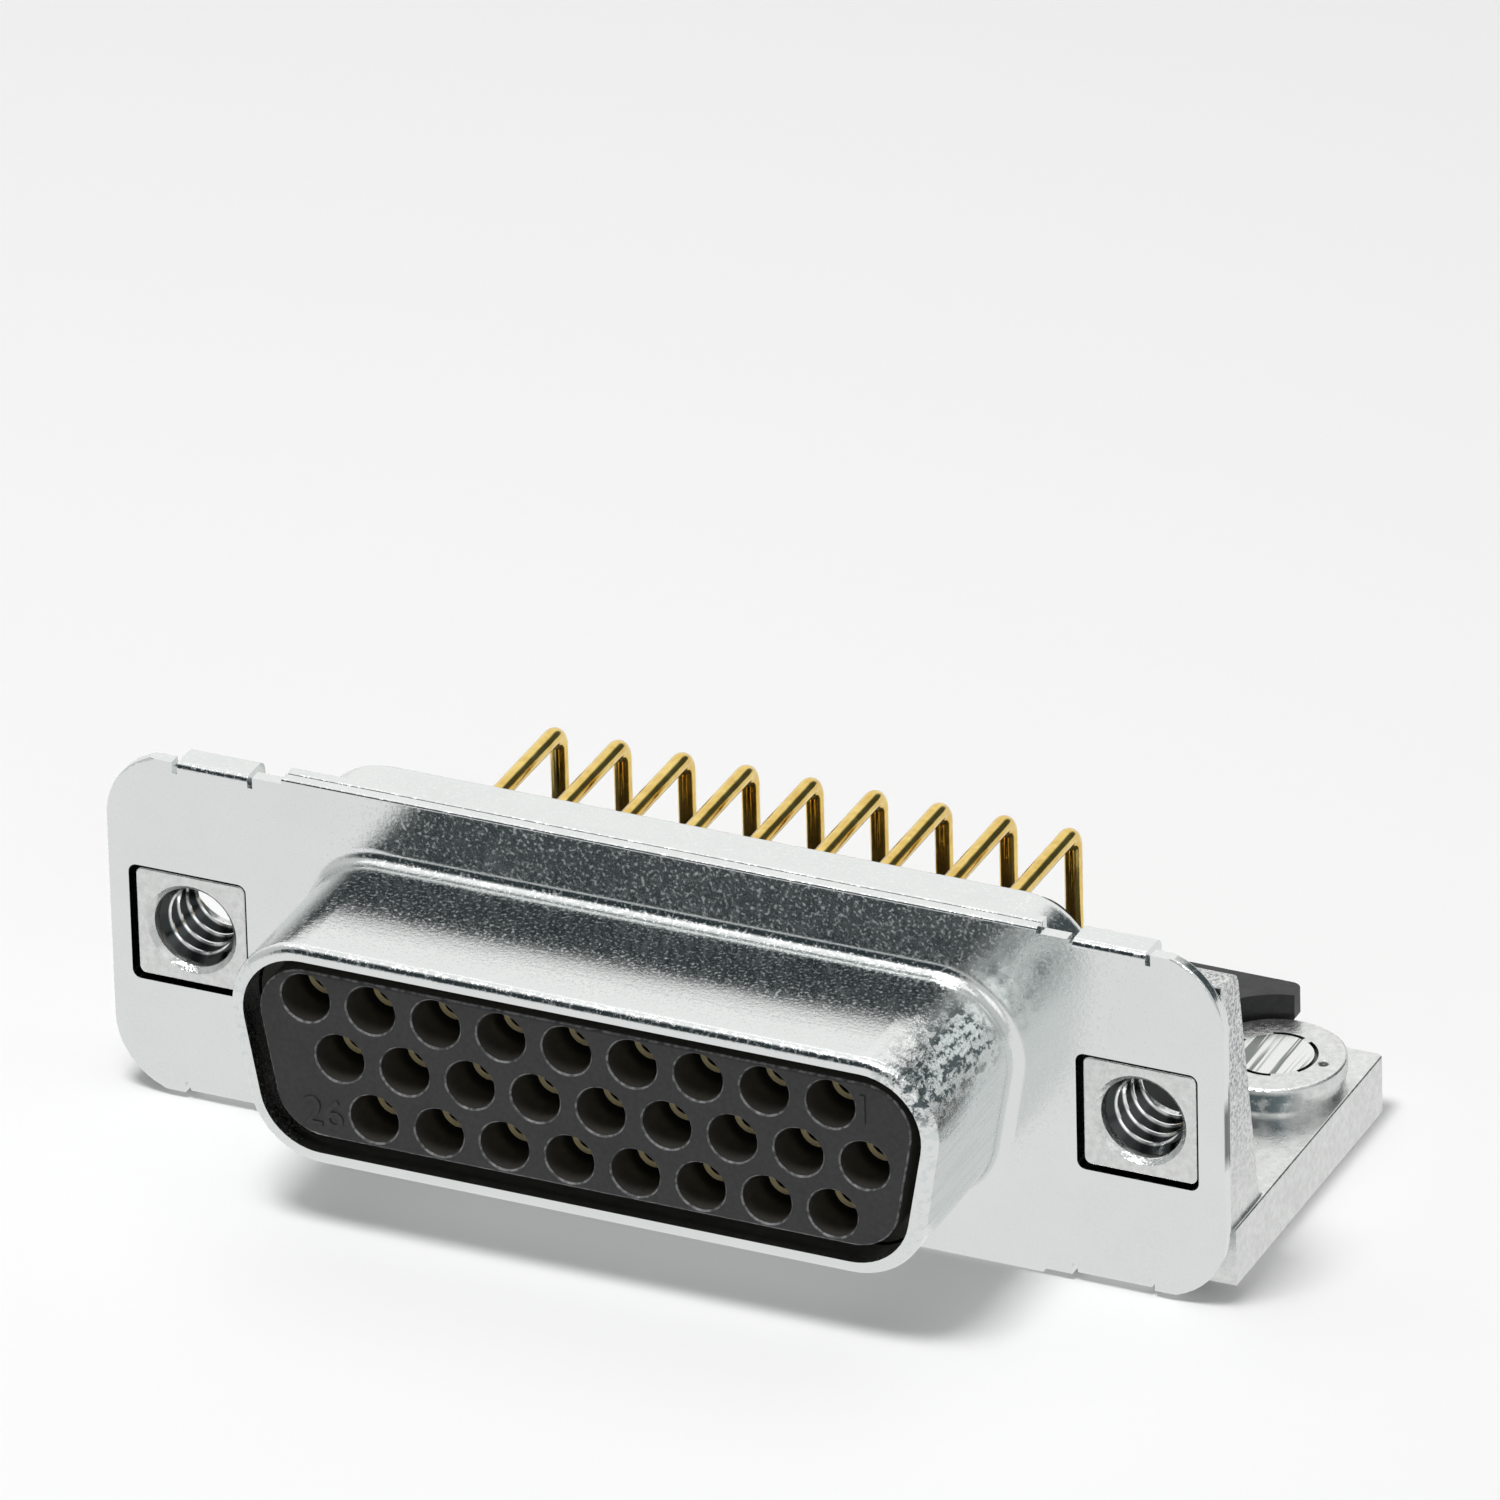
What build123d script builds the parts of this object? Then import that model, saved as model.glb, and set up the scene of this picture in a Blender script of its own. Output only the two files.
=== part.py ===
from math import cos, radians, tan
import os

from build123d import *

# Frame, in millimetres: X along the rows of contacts, Y towards the tails, Z up from the board.
# The origin lies on the board, midway between the two board locks.

# Contact grid and footprint
PITCH = 2.29
ROW_SPACING = 1.98
ROW_COUNTS = (9, 9, 8)
ROW_CENTRES = (-PITCH / 4, PITCH / 4, PITCH / 4)
TAIL_ROW_SPACING = 2.54

# Shells
SHEET = 0.45
COLLAR_SIDE = 3.17
COLLAR_END = 1.97
BODY_SIDE = 1.37
BODY_END = 1.4
LOCK_SIDE = 2.96
FLANGE_SIDE = 2.91
FLANGE_END = 0.925
FLANGE_CLEARANCE = 0.025
FLANGE_TO_LOCKS = 10.89
FLANGE_CORNER = 2.6
SHEET_EDGE_RADIUS = 0.09
COLLAR_DEPTH = 6.1
COLLAR_CORNER = 2.6
COLLAR_ANGLE = 10
COLLAR_WALL = 0.4
LIP_RADIUS = 0.35
LIP_WIDTH = 0.5
ROOT_RADIUS = 0.45
BODY_CORNER = 2.6
BODY_DEPTH = 4.2
BODY_EDGE_RADIUS = 0.8
BODY_ROOT_RADIUS = 0.15
REAR_FLANGE_INSET = 0.15
REAR_FLANGE_CORNER = 2.0
REAR_OPENING_MARGIN = 1.7
REAR_OPENING_CORNER = 1.5

# Clinch tabs, folded back over the rear shell
TAB_OFFSET = 0.98
TAB_WIDTH = 2.5
TAB_RECESS_WIDTH = 4.95
TAB_STEP = 0.175
TAB_SLIT = 0.18
TAB_SLIT_DEPTH = 0.4
TAB_FOLD_RADIUS = 0.42
TAB_FRONT_RADIUS = 0.25
TAB_REACH = 1.1
TAB_OVERLAP = 0.1

# Square windows and the threaded noses in them; the shells sit slightly left of the noses, and low
WINDOW = 4.2
NOSE_FIT = 0.15
WINDOW_CORNER = 0.3
WINDOW_SHIFT_X = -0.08
WINDOW_SHIFT_Z = -0.05
NOSE_CORNER = 0.25
NOSE_RECESS = 0.04
NOSE_EDGE_RADIUS = 0.06
THREAD_RADIUS = 1.42
THREAD_CHAMFER = 0.18

# Insulators
FIT = 0.05
BORE_FIT = 0.02
FACE_SET_BACK = 0.25
FACE_BASE_LENGTH = 4.6
FACE_INSET = 0.95
SOCKET_HOLE_RADIUS = 0.85
SOCKET_HOLE_CHAMFER = 0.07
SOCKET_HOLE_END = 0.6
FRONT_PLATE_END = 2.2
REAR_BLOCK_REACH = 2.2
FACE_EDGE_RADIUS = 0.12

# Contacts
BARREL_RADIUS = 0.62
BARREL_BORE_RADIUS = 0.42
BARREL_BORE_DEPTH = 4.2
BARREL_RECESS = 1.55
TAIL_RADIUS = 0.3
TAIL_BEND_RADIUS = 0.55
TAIL_BELOW_BOARD = 3.2

# Brackets
BRACKET_GAP = 0.3
BRACKET_SIDE = 2.59
WALL_INSET = 0.13
WALL_GAP = 0.15
WALL_TOP_THICKNESS = 1.35
WALL_FOOT_THICKNESS = 2.9
WALL_TOP_RADIUS = 0.6
WALL_ROOT_RADIUS = 0.4
FOOT_THICKNESS = 2.05
FOOT_GAP = 0.25
FOOT_END = 2.95
FOOT_CORNER = 0.2
FOOT_EDGE_RADIUS = 0.08
BOSS_BASE_RADIUS = 2.3
BOSS_BASE_HEIGHT = 0.5
BOSS_RADIUS = 2.38
BOSS_HEIGHT = 1.0
BOSS_EDGE_RADIUS = 0.1
STAKE_GROOVE_WIDTH = 0.14
STAKE_GROOVE_DEPTH = 0.16
STAKE_ARCS = ((68, 46), (-34, 90), (-112, 40), (156, 52))
DIMPLE_RADIUS = 0.2
DIMPLE_DEPTH = 0.1
DIMPLE_OFFSET = 1.72

# Board locks
LOCK_RADIUS = 1.3
LOCK_PRONG_RADIUS = 1.5
LOCK_NECK_RADIUS = 1.1
LOCK_TIP_RADIUS = 0.85
LOCK_NECK_END = -2.05
LOCK_PRONG_HEIGHT = -2.5
LOCK_BELOW_BOARD = 3.9
LOCK_SLOT_WIDTH = 0.8
LOCK_SLOT_TOP = -1.5

# Pin organiser
ORGANISER_THICKNESS = 1.75
ORGANISER_BACK_EDGE = 0.82
ORGANISER_FRONT_EDGE = 1.05
ORGANISER_DROP = 1.3
ORGANISER_CORNER = 0.4
ORGANISER_TIP_OFFSET = 0.36
ORGANISER_BOSS_GAP = 0.2
ORGANISER_TIP_FACE = 0.85
ORGANISER_UNDERCUT = 0.6
TAIL_GAP = 0.12

# Selectors look for edges within this distance of where they should be
HAIR = 0.01

# Worked out from the sizes above
COLLAR_WIDTH = (max(ROW_COUNTS) - 1) * PITCH + 2 * COLLAR_SIDE
COLLAR_HEIGHT = (len(ROW_COUNTS) - 1) * ROW_SPACING + 2 * COLLAR_END
BODY_WIDTH = COLLAR_WIDTH + 2 * BODY_SIDE
BODY_HEIGHT = COLLAR_HEIGHT + 2 * BODY_END
LOCK_X = BODY_WIDTH / 2 + LOCK_SIDE
FLANGE_WIDTH = 2 * (LOCK_X + FLANGE_SIDE)
FLANGE_HEIGHT = BODY_HEIGHT + 2 * FLANGE_END
AXIS_HEIGHT = FLANGE_HEIGHT / 2 + FLANGE_CLEARANCE
FLANGE_Y = -FLANGE_TO_LOCKS
FACE_DEPTH = COLLAR_DEPTH - FACE_SET_BACK
FACE_PLANE_Y = FLANGE_Y - FACE_DEPTH
TAIL_ROW_YS = (TAIL_ROW_SPACING, 0, -TAIL_ROW_SPACING)
ROW_HEIGHTS = (AXIS_HEIGHT + ROW_SPACING, AXIS_HEIGHT, AXIS_HEIGHT - ROW_SPACING)
TAPER = tan(radians(COLLAR_ANGLE))
PLATE_WIDTH = BODY_WIDTH - 2 * SHEET - 2 * FIT
PLATE_HEIGHT = BODY_HEIGHT - 2 * SHEET - 2 * FIT
PLATE_CORNER = BODY_CORNER - SHEET - FIT
REAR_OPENING_WIDTH = BODY_WIDTH - 2 * REAR_OPENING_MARGIN
REAR_OPENING_HEIGHT = BODY_HEIGHT - 2 * REAR_OPENING_MARGIN
REAR_BLOCK_END = BODY_DEPTH + REAR_BLOCK_REACH
NOSE = WINDOW - 2 * NOSE_FIT
TAB_CENTRE = LOCK_X - TAB_OFFSET
TAB_HEIGHT = FLANGE_HEIGHT / 2 - TAB_STEP
TAB_END = 3 * SHEET
BRACKET_INNER = BODY_WIDTH / 2 + BRACKET_GAP
BRACKET_OUTER = LOCK_X + BRACKET_SIDE
WALL_TOP = AXIS_HEIGHT + TAB_HEIGHT - TAB_REACH - WALL_GAP
FOOT_FRONT = FLANGE_Y + TAB_END + FOOT_GAP
BOSS_TOP = FOOT_THICKNESS + BOSS_HEIGHT
ORGANISER_TOP = FOOT_THICKNESS + ORGANISER_THICKNESS
ORGANISER_TIP = LOCK_X - ORGANISER_TIP_OFFSET
ORGANISER_FRONT = -TAIL_ROW_SPACING - ORGANISER_FRONT_EDGE
ORGANISER_BACK = TAIL_ROW_SPACING + ORGANISER_BACK_EDGE
TAIL_SLOT = 2 * (TAIL_RADIUS + TAIL_GAP)


def facing(depth):
    """A plane that faces the front, at a depth behind the flange's front face, on the connector's axis."""
    return Plane(origin=(0, FLANGE_Y + depth, AXIS_HEIGHT), x_dir=(1, 0, 0), z_dir=(0, -1, 0))


def side_plane(x):
    """A plane across X, with its own x along Y and its own y along Z."""
    return Plane(origin=(x, 0, 0), x_dir=(0, 1, 0), z_dir=(1, 0, 0))


def d_outline(depth, inset=0.0):
    """The D shape of the collar, drawn in by an inset, at a depth behind the flange's front face."""
    half_width = COLLAR_WIDTH / 2 + COLLAR_CORNER * (TAPER + 1 / cos(radians(COLLAR_ANGLE)) - 1)
    half_height = COLLAR_HEIGHT / 2
    foot = half_width - COLLAR_HEIGHT * TAPER
    corners = [(-half_width, half_height), (half_width, half_height),
               (foot, -half_height), (-foot, -half_height)]
    with BuildSketch(facing(depth)) as outline:
        with BuildLine():
            Polyline(*corners, close=True)
        make_face()
        fillet(outline.vertices(), COLLAR_CORNER)
        if inset:
            offset(amount=-inset)
    return outline.sketch


def windows(depth):
    """The two square windows of the flange."""
    with BuildSketch(facing(depth)) as pair:
        with Locations((-LOCK_X + WINDOW_SHIFT_X, WINDOW_SHIFT_Z), (LOCK_X + WINDOW_SHIFT_X, WINDOW_SHIFT_Z)):
            RectangleRounded(WINDOW, WINDOW, WINDOW_CORNER)
    return pair.sketch


def contact_places():
    """The X, the height and the tail's Y of each contact: each row runs from right to left."""
    places = []
    for count, centre, height, tail_y in zip(ROW_COUNTS, ROW_CENTRES, ROW_HEIGHTS, TAIL_ROW_YS):
        for step in range(count):
            places.append((centre + ((count - 1) / 2 - step) * PITCH, height, tail_y))
    return places


PLACES = contact_places()
TAB_POINTS = [(side * TAB_CENTRE, end * FLANGE_HEIGHT / 2) for side in (-1, 1) for end in (-1, 1)]
FACE_POINTS = [(x, height - AXIS_HEIGHT) for x, height, tail_y in PLACES]
TAIL_POINTS = [(x, tail_y) for x, height, tail_y in PLACES]


def within(spot, width, height):
    """True for a spot inside a rectangle centred on the connector's axis, or on its outline."""
    return abs(spot.X) < width / 2 + HAIR and abs(spot.Z - AXIS_HEIGHT) < height / 2 + HAIR


def sheet_rim(flange):
    """The edges round the front and the back of a flange that was just extruded."""
    levels = flange.edges().group_by(Axis.Y)
    return levels[0] + levels[-1]


def on_root(edge):
    """True for the edges where the collar leaves the flange."""
    spot = edge.center()
    return abs(spot.Y - FLANGE_Y) < HAIR and within(spot, COLLAR_WIDTH, COLLAR_HEIGHT)


def on_body_root(edge):
    """True for the edges where the rear shell's box leaves its flange."""
    spot = edge.center()
    return abs(spot.Y - FLANGE_Y - 2 * SHEET) < HAIR and within(spot, BODY_WIDTH, BODY_HEIGHT)


def at_tab_top(edge):
    """True for the long edges of a clinch tab, at the height where it folds over."""
    spot = edge.center()
    return abs(abs(spot.Z - AXIS_HEIGHT) - TAB_HEIGHT) < HAIR and abs(abs(spot.X) - TAB_CENTRE) < HAIR


# Front shell: flange, drawn collar with a turned-in lip, and clinch tabs
with BuildPart() as front_shell:
    with BuildSketch(facing(0)):
        RectangleRounded(FLANGE_WIDTH, FLANGE_HEIGHT, FLANGE_CORNER)
    extrude(amount=-SHEET)
    fillet(sheet_rim(front_shell), SHEET_EDGE_RADIUS)
    with BuildSketch(facing(0)):
        with Locations(*TAB_POINTS):
            Rectangle(TAB_RECESS_WIDTH, 2 * TAB_STEP)
            Rectangle(TAB_WIDTH + 2 * TAB_SLIT, 2 * (TAB_STEP + TAB_SLIT_DEPTH))
    extrude(amount=-SHEET, mode=Mode.SUBTRACT)
    extrude(d_outline(0), amount=COLLAR_DEPTH)
    fillet(front_shell.edges().group_by(Axis.Y)[0], LIP_RADIUS)
    fillet(front_shell.edges().filter_by(on_root), ROOT_RADIUS)
    extrude(d_outline(SHEET, COLLAR_WALL), amount=COLLAR_DEPTH + SHEET - COLLAR_WALL, mode=Mode.SUBTRACT)
    extrude(d_outline(SHEET, LIP_WIDTH), amount=COLLAR_DEPTH + 2 * SHEET, mode=Mode.SUBTRACT)
    extrude(windows(0), amount=-SHEET, mode=Mode.SUBTRACT)
    for side in (-1, 1):
        for end in (-1, 1):
            low = AXIS_HEIGHT + end * (TAB_HEIGHT - TAB_SLIT_DEPTH - TAB_OVERLAP)
            top = AXIS_HEIGHT + end * TAB_HEIGHT
            under = AXIS_HEIGHT + end * (TAB_HEIGHT - SHEET)
            tip = AXIS_HEIGHT + end * (TAB_HEIGHT - TAB_REACH)
            with BuildSketch(side_plane(side * TAB_CENTRE - TAB_WIDTH / 2)):
                with BuildLine():
                    Polyline((FLANGE_Y, low), (FLANGE_Y, top), (FLANGE_Y + TAB_END, top),
                             (FLANGE_Y + TAB_END, tip), (FLANGE_Y + 2 * SHEET, tip),
                             (FLANGE_Y + 2 * SHEET, under), (FLANGE_Y + SHEET, under),
                             (FLANGE_Y + SHEET, low), close=True)
                make_face()
            extrude(amount=TAB_WIDTH)
    tab_edges = front_shell.edges().filter_by(Axis.X).filter_by(at_tab_top)
    fillet(tab_edges.group_by(Axis.Y)[-1], TAB_FOLD_RADIUS)
    tab_edges = front_shell.edges().filter_by(Axis.X).filter_by(at_tab_top)
    fillet(tab_edges.group_by(Axis.Y)[0], TAB_FRONT_RADIUS)
front_shell.part.label = "front_shell"

# Rear shell: flange and drawn box, open at its back for the insulator
with BuildPart() as rear_shell:
    with BuildSketch(facing(SHEET)):
        Rectangle(2 * TAB_CENTRE - TAB_RECESS_WIDTH, FLANGE_HEIGHT)
        RectangleRounded(FLANGE_WIDTH - 2 * REAR_FLANGE_INSET, 2 * (TAB_HEIGHT - SHEET - FIT),
                         REAR_FLANGE_CORNER)
    extrude(amount=-SHEET)
    fillet(sheet_rim(rear_shell), SHEET_EDGE_RADIUS)
    with BuildSketch(facing(SHEET)):
        RectangleRounded(BODY_WIDTH, BODY_HEIGHT, BODY_CORNER)
    extrude(amount=SHEET - BODY_DEPTH)
    fillet(rear_shell.edges().group_by(Axis.Y)[-1], BODY_EDGE_RADIUS)
    fillet(rear_shell.edges().filter_by(on_body_root), BODY_ROOT_RADIUS)
    with BuildSketch(facing(SHEET)):
        RectangleRounded(BODY_WIDTH - 2 * SHEET, BODY_HEIGHT - 2 * SHEET, BODY_CORNER - SHEET)
    extrude(amount=2 * SHEET - BODY_DEPTH, mode=Mode.SUBTRACT)
    with BuildSketch(facing(SHEET)):
        RectangleRounded(REAR_OPENING_WIDTH, REAR_OPENING_HEIGHT, REAR_OPENING_CORNER)
    extrude(amount=-BODY_DEPTH, mode=Mode.SUBTRACT)
    extrude(windows(SHEET), amount=-SHEET, mode=Mode.SUBTRACT)
rear_shell.part.label = "rear_shell"

# Front insulator: plate in the rear shell, nose in the collar, stepped holes for the sockets
with BuildPart() as front_insulator:
    with BuildSketch(facing(SHEET)):
        RectangleRounded(PLATE_WIDTH, PLATE_HEIGHT, PLATE_CORNER)
    extrude(amount=SHEET - FRONT_PLATE_END)
    extrude(d_outline(SHEET, COLLAR_WALL + FIT), amount=SHEET + FACE_BASE_LENGTH)
    extrude(d_outline(SHEET, FACE_INSET), amount=SHEET + FACE_DEPTH)
    fillet(front_insulator.edges().group_by(Axis.Y)[0], FACE_EDGE_RADIUS)
    with BuildSketch(facing(SOCKET_HOLE_END)):
        with Locations(*FACE_POINTS):
            Circle(SOCKET_HOLE_RADIUS)
    extrude(amount=SOCKET_HOLE_END + FACE_DEPTH, mode=Mode.SUBTRACT)
    with BuildSketch(facing(FRONT_PLATE_END)):
        with Locations(*FACE_POINTS):
            Circle(BARREL_RADIUS + BORE_FIT)
    extrude(amount=FRONT_PLATE_END, mode=Mode.SUBTRACT)
    chamfer(front_insulator.edges().group_by(Axis.Y)[0].filter_by(GeomType.CIRCLE)
            .filter_by(lambda e: e.is_closed), SOCKET_HOLE_CHAMFER)
front_insulator.part.label = "front_insulator"

# Rear insulator: plate behind the front one, and the block that stands out of the rear shell
with BuildPart() as rear_insulator:
    with BuildSketch(facing(FRONT_PLATE_END)):
        RectangleRounded(PLATE_WIDTH, PLATE_HEIGHT, PLATE_CORNER)
    extrude(amount=FRONT_PLATE_END + SHEET - BODY_DEPTH)
    with BuildSketch(facing(FRONT_PLATE_END)):
        RectangleRounded(REAR_OPENING_WIDTH - 2 * FIT, REAR_OPENING_HEIGHT - 2 * FIT,
                         REAR_OPENING_CORNER - FIT)
    extrude(amount=FRONT_PLATE_END - REAR_BLOCK_END)
    with BuildSketch(facing(FRONT_PLATE_END)):
        with Locations(*FACE_POINTS):
            Circle(TAIL_RADIUS + BORE_FIT)
    extrude(amount=FRONT_PLATE_END - REAR_BLOCK_END, mode=Mode.SUBTRACT)
rear_insulator.part.label = "rear_insulator"


def make_contact(x, height, tail_y):
    """A turned socket contact with its round tail, bent down through the board."""
    mouth = FACE_PLANE_Y + BARREL_RECESS
    back = FLANGE_Y + FRONT_PLATE_END
    with BuildPart() as contact:
        with BuildSketch(Plane(origin=(x, back, height), x_dir=(1, 0, 0), z_dir=(0, -1, 0))):
            Circle(BARREL_RADIUS)
        extrude(amount=back - mouth)
        with BuildSketch(Plane(origin=(x, mouth, height), x_dir=(1, 0, 0), z_dir=(0, -1, 0))):
            Circle(BARREL_BORE_RADIUS)
        extrude(amount=-BARREL_BORE_DEPTH, mode=Mode.SUBTRACT)
        with BuildLine(side_plane(x)) as route:
            FilletPolyline((back, height), (tail_y, height), (tail_y, -TAIL_BELOW_BOARD),
                           radius=TAIL_BEND_RADIUS)
        with BuildSketch(Plane(origin=(x, back, height), x_dir=(1, 0, 0), z_dir=(0, 1, 0))):
            Circle(TAIL_RADIUS)
        sweep(path=route.wires()[0])
    return contact.part


contacts = []
for number, (x, height, tail_y) in enumerate(PLACES, start=1):
    contact_part = make_contact(x, height, tail_y)
    contact_part.label = f"contact_{number:02d}"
    contacts.append(contact_part)


def on_wall_root(edge):
    """True for the edge where a bracket's wall meets the top of its foot."""
    spot = edge.center()
    wall_back = FLANGE_Y + 2 * SHEET + WALL_FOOT_THICKNESS
    return abs(spot.Y - wall_back) < HAIR and abs(spot.Z - FOOT_THICKNESS) < HAIR


def at_foot_corner(edge):
    """True for the upright edge at the outer back corner of a bracket's foot."""
    spot = edge.center()
    return abs(abs(spot.X) - BRACKET_OUTER) < HAIR and abs(spot.Y - FOOT_END) < HAIR


def on_foot_rim(edge):
    """True for the upper edges along the outer side and the back of a bracket's foot."""
    spot = edge.center()
    outer = abs(spot.X) > BRACKET_OUTER - FOOT_CORNER / 2 and spot.Y > FOOT_FRONT + HAIR
    return abs(spot.Z - FOOT_THICKNESS) < HAIR and (outer or spot.Y > FOOT_END - HAIR)


def on_boss_rim(edge):
    """True for the upper rim of the boss on a bracket's foot."""
    return edge.geom_type == GeomType.CIRCLE and abs(edge.center().Z - BOSS_TOP) < HAIR


def make_bracket(side):
    """A cast angle bracket: threaded nose in the window, wall, foot, and the boss round the board lock."""
    inner = side * BRACKET_INNER
    wall_outer = side * (BRACKET_OUTER - WALL_INSET)
    back = FLANGE_Y + 2 * SHEET
    foot_centre = (side * (BRACKET_INNER + BRACKET_OUTER) / 2, (FOOT_FRONT + FOOT_END) / 2)
    with BuildPart() as bracket:
        with BuildSketch(side_plane(min(inner, wall_outer))):
            with BuildLine():
                Polyline((back, FOOT_THICKNESS), (back, WALL_TOP), (back + WALL_TOP_THICKNESS, WALL_TOP),
                         (back + WALL_FOOT_THICKNESS, FOOT_THICKNESS), close=True)
            make_face()
        extrude(amount=abs(wall_outer - inner))
        fillet(bracket.edges().filter_by(Axis.X).group_by(Axis.Z)[-1].group_by(Axis.Y)[-1], WALL_TOP_RADIUS)
        with BuildSketch(Plane.XY):
            with Locations(foot_centre):
                Rectangle(BRACKET_OUTER - BRACKET_INNER, FOOT_END - FOOT_FRONT)
        extrude(amount=FOOT_THICKNESS)
        fillet(bracket.edges().filter_by(Axis.Z).filter_by(at_foot_corner), FOOT_CORNER)
        fillet(bracket.edges().filter_by(on_foot_rim), FOOT_EDGE_RADIUS)
        fillet(bracket.edges().filter_by(Axis.X).filter_by(on_wall_root), WALL_ROOT_RADIUS)
        with BuildSketch(Plane.XY.offset(FOOT_THICKNESS)):
            with Locations((side * LOCK_X, 0)):
                Circle(BOSS_BASE_RADIUS)
        extrude(amount=BOSS_BASE_HEIGHT)
        with BuildSketch(Plane.XY.offset(FOOT_THICKNESS + BOSS_BASE_HEIGHT)):
            with Locations((side * LOCK_X, 0)):
                Circle(BOSS_RADIUS)
        extrude(amount=BOSS_HEIGHT - BOSS_BASE_HEIGHT)
        fillet(bracket.edges().filter_by(on_boss_rim), BOSS_EDGE_RADIUS)
        with BuildSketch(facing(NOSE_RECESS)):
            with Locations((side * LOCK_X, 0)):
                RectangleRounded(NOSE, NOSE, NOSE_CORNER)
        extrude(amount=NOSE_RECESS - 2 * SHEET)
        fillet(bracket.edges().group_by(Axis.Y)[0], NOSE_EDGE_RADIUS)
        with BuildSketch(facing(NOSE_RECESS)):
            with Locations((side * LOCK_X, 0)):
                Circle(THREAD_RADIUS)
        extrude(amount=-2 * SHEET - WALL_FOOT_THICKNESS, mode=Mode.SUBTRACT)
        rounds = bracket.edges().filter_by(GeomType.CIRCLE).filter_by(lambda edge: edge.is_closed)
        chamfer(rounds.group_by(Axis.Y)[0], THREAD_CHAMFER)
        with BuildSketch(Plane(origin=(side * LOCK_X, 0, BOSS_TOP), x_dir=(side, 0, 0), z_dir=(0, 0, side))):
            for first, sweep_angle in STAKE_ARCS:
                with BuildLine():
                    CenterArc((0, 0), LOCK_RADIUS + STAKE_GROOVE_WIDTH / 2, first, sweep_angle)
                trace(line_width=STAKE_GROOVE_WIDTH)
        extrude(amount=-side * STAKE_GROOVE_DEPTH, mode=Mode.SUBTRACT)
        with Locations((side * (LOCK_X + DIMPLE_OFFSET), 0, BOSS_TOP - DIMPLE_DEPTH / 2)):
            Cone(0, DIMPLE_RADIUS, DIMPLE_DEPTH, mode=Mode.SUBTRACT)
        with BuildSketch(Plane.XY):
            with Locations((side * LOCK_X, 0)):
                Circle(LOCK_RADIUS)
        extrude(amount=BOSS_TOP, mode=Mode.SUBTRACT)
    return bracket.part


def make_board_lock(side):
    """A split pin staked in the boss, with two prongs that snap through the board."""
    with BuildPart() as lock:
        with BuildSketch(Plane(origin=(side * LOCK_X, 0, 0), x_dir=(1, 0, 0), z_dir=(0, -1, 0))):
            with BuildLine():
                Polyline((0, BOSS_TOP), (LOCK_RADIUS, BOSS_TOP), (LOCK_RADIUS, 0), (LOCK_NECK_RADIUS, 0),
                         (LOCK_NECK_RADIUS, LOCK_NECK_END), (LOCK_PRONG_RADIUS, LOCK_PRONG_HEIGHT),
                         (LOCK_TIP_RADIUS, -LOCK_BELOW_BOARD), (0, -LOCK_BELOW_BOARD), close=True)
            make_face()
        revolve(axis=Axis((side * LOCK_X, 0, 0), (0, 0, 1)))
        with BuildSketch(Plane.XY.offset(LOCK_SLOT_TOP)):
            with Locations((side * LOCK_X, 0)):
                Rectangle(LOCK_SLOT_WIDTH, 4 * LOCK_PRONG_RADIUS)
        extrude(amount=-LOCK_BELOW_BOARD, mode=Mode.SUBTRACT)
    return lock.part


brackets = []
for side, name in ((-1, "bracket_left"), (1, "bracket_right")):
    bracket_part = make_bracket(side)
    bracket_part.label = name
    brackets.append(bracket_part)

board_locks = []
for side, name in ((-1, "board_lock_left"), (1, "board_lock_right")):
    lock_part = make_board_lock(side)
    lock_part.label = name
    board_locks.append(lock_part)


def at_tip_back(edge):
    """True for the upright edges at the back corners of the organiser's two tips."""
    spot = edge.center()
    return abs(abs(spot.X) - ORGANISER_TIP) < HAIR and abs(spot.Y - ORGANISER_BACK) < HAIR


# Pin organiser: a plate on the feet of the brackets, hollowed round their bosses
with BuildPart() as pin_organiser:
    with BuildSketch(Plane.XY.offset(FOOT_THICKNESS)):
        with Locations((0, (ORGANISER_FRONT + ORGANISER_BACK) / 2)):
            Rectangle(2 * ORGANISER_TIP, ORGANISER_BACK - ORGANISER_FRONT)
        with Locations((-LOCK_X, 0), (LOCK_X, 0)):
            Circle(BOSS_RADIUS + ORGANISER_BOSS_GAP, mode=Mode.SUBTRACT)
    extrude(amount=ORGANISER_THICKNESS)
    fillet(pin_organiser.edges().filter_by(Axis.Z).filter_by(at_tip_back), ORGANISER_CORNER)
    for side in (-1, 1):
        with BuildSketch(Plane(origin=(0, ORGANISER_FRONT, 0), x_dir=(1, 0, 0), z_dir=(0, -1, 0))):
            with BuildLine():
                Polyline((side * ORGANISER_TIP, ORGANISER_TOP - ORGANISER_TIP_FACE),
                         (side * ORGANISER_TIP, FOOT_THICKNESS),
                         (side * (ORGANISER_TIP - ORGANISER_UNDERCUT), FOOT_THICKNESS), close=True)
            make_face()
        extrude(amount=ORGANISER_FRONT - ORGANISER_BACK, mode=Mode.SUBTRACT)
    with BuildSketch(Plane.XY.offset(FOOT_THICKNESS)):
        with Locations((0, (ORGANISER_FRONT + ORGANISER_BACK) / 2)):
            Rectangle(2 * (BRACKET_INNER - FIT), ORGANISER_BACK - ORGANISER_FRONT)
    extrude(amount=-ORGANISER_DROP)
    with BuildSketch(Plane.XY.offset(FOOT_THICKNESS - ORGANISER_DROP)):
        with Locations(*TAIL_POINTS):
            Rectangle(TAIL_SLOT, TAIL_SLOT)
    extrude(amount=ORGANISER_DROP + ORGANISER_THICKNESS, mode=Mode.SUBTRACT)
pin_organiser.part.label = "pin_organiser"

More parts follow.
